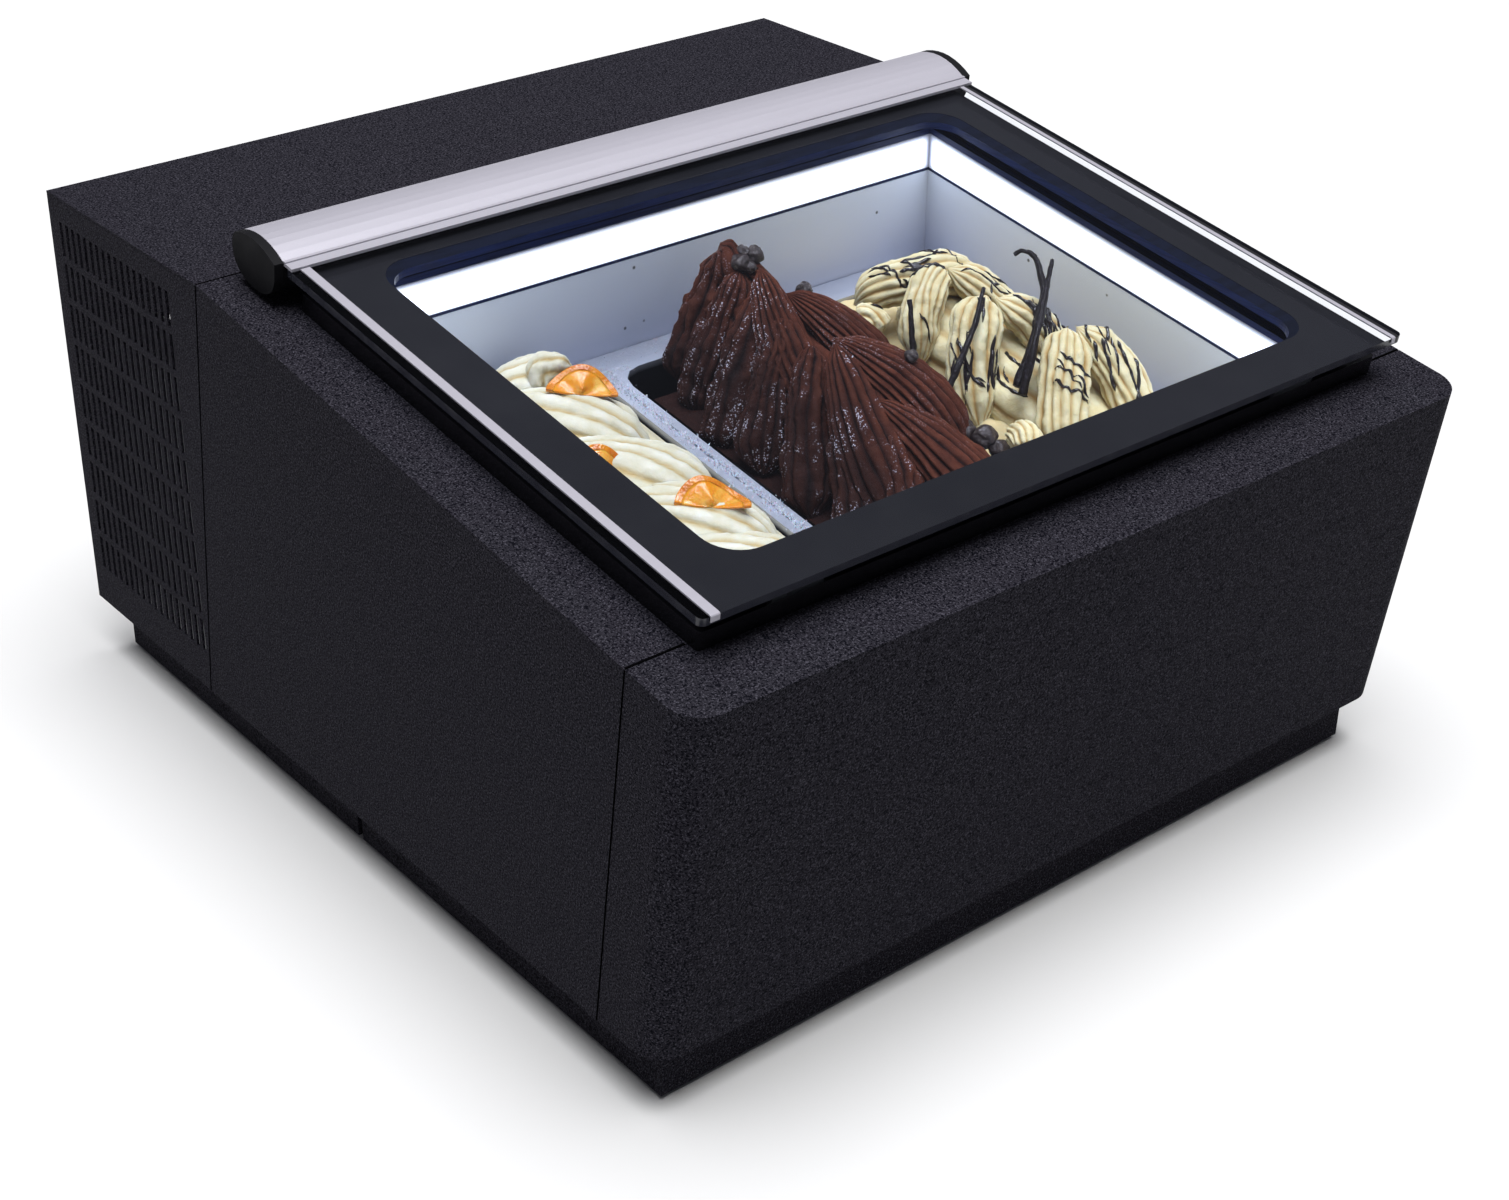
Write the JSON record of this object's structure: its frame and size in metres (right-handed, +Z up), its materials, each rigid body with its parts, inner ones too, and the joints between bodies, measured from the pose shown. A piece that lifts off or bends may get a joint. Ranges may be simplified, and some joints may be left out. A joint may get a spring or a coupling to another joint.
{
  "type": "countertop ice cream display freezer",
  "caption": "Countertop display freezer with a sloping flip-up glass lid over a lit well of ice cream pans and a louvred machine box behind.",
  "frame": {"origin": "middle of the footprint, on the surface it stands on", "axes": "+X to the right seen from the customer in front, +Y to the operator's side at the back, +Z up"},
  "size_m": [0.7, 0.77, 0.4342],
  "materials": {
    "body_paint": "charcoal fine-texture powder coat",
    "rubber": "matte black rubber",
    "foam": null,
    "stainless": "satin stainless steel",
    "copper": null,
    "orange_cream": "pale yellow ice cream, soft and frosted",
    "chocolate": "dark brown ice cream, frosted on the ridges",
    "vanilla": "cream-coloured ice cream, soft and frosted",
    "black_plastic": "semi-gloss black moulding",
    "diffuser": "milky white, lit from behind",
    "glass": "clear toughened glass, the upper pane with a black printed border",
    "satin_aluminium": "satin anodised",
    "black_steel": "black enamel",
    "galvanised": "dull galvanised sheet"
  },
  "bodies": {
    "cabinet": {"front_plinth_tray": "body_paint", "machine_base_tray": "body_paint", "front_panel": "body_paint", "body_shell": "body_paint", "machine_top_cover": "body_paint", "side_grille_left": "body_paint", "side_grille_right": "body_paint", "back_panel": "body_paint", "foot_front_left": "rubber", "foot_front_right": "rubber", "foot_rear_left": "rubber", "foot_rear_right": "rubber", "tank_insulation": "foam", "well_liner": "stainless", "pan_support_frame": "stainless", "pan_left": "stainless", "pan_middle": "stainless", "pan_right": "stainless", "hinge_base_left": "stainless", "hinge_pin_left": "stainless", "hinge_base_right": "stainless", "hinge_pin_right": "stainless", "evaporator_coil": "copper", "filter_drier": "copper", "discharge_pipe": "copper", "suction_pipe": "copper", "orange_cream_ice": "orange_cream", "chocolate_ice": "chocolate", "vanilla_ice": "vanilla", "well_collar": "black_plastic", "compressor_terminal_box": "black_plastic", "thermostat_module": "black_plastic", "mains_inlet": "black_plastic", "mains_switch_housing": "black_plastic", "light_strip_rear": "diffuser", "light_strip_front": "diffuser", "light_strip_left": "diffuser", "light_strip_right": "diffuser", "compressor": "black_steel", "compressor_mounting_plate": "galvanised", "condenser": "galvanised", "fan_shroud": "galvanised", "fan_motor": "galvanised"},
    "lid": {"lid_glass": "glass", "lid_frame": "black_plastic", "lid_lower_pane": "glass", "lid_gasket": "rubber", "lid_trim_left": "satin_aluminium", "lid_trim_right": "satin_aluminium", "lid_handle": "satin_aluminium", "handle_cap_left": "black_plastic", "handle_cap_right": "black_plastic", "hinge_leaf_left": "stainless", "hinge_leaf_right": "stainless"},
    "fan": {"fan_blade": "black_plastic"},
    "power_key": {"power_button": "rubber"},
    "colder_key": {"colder_button": "rubber"},
    "warmer_key": {"warmer_button": "rubber"},
    "mains_rocker": {"mains_rocker": "black_plastic"}
  },
  "joints": [
    {"name": "lid_hinge", "type": "hinge", "parent": "cabinet", "child": "lid", "pos_m": [0, -0.32799, 0.3405], "axis": [1, 0, 0], "range_deg": [0, 72]},
    {"name": "fan_spin", "type": "hinge", "parent": "cabinet", "child": "fan", "pos_m": [-0.262, 0.271, 0.16], "axis": [1, 0, 0], "continuous": true},
    {"name": "power_button_press", "type": "slide", "parent": "cabinet", "child": "power_key", "axis": [0, -1, 0], "range_m": [0, 0.001], "stiffness_N_per_m": 400},
    {"name": "colder_button_press", "type": "slide", "parent": "cabinet", "child": "colder_key", "axis": [0, -1, 0], "range_m": [0, 0.001], "stiffness_N_per_m": 400},
    {"name": "warmer_button_press", "type": "slide", "parent": "cabinet", "child": "warmer_key", "axis": [0, -1, 0], "range_m": [0, 0.001], "stiffness_N_per_m": 400},
    {"name": "mains_rocker_tilt", "type": "hinge", "parent": "cabinet", "child": "mains_rocker", "pos_m": [-0.161, 0.371, 0.092], "axis": [1, 0, 0], "range_deg": [0, 12]}
  ]
}
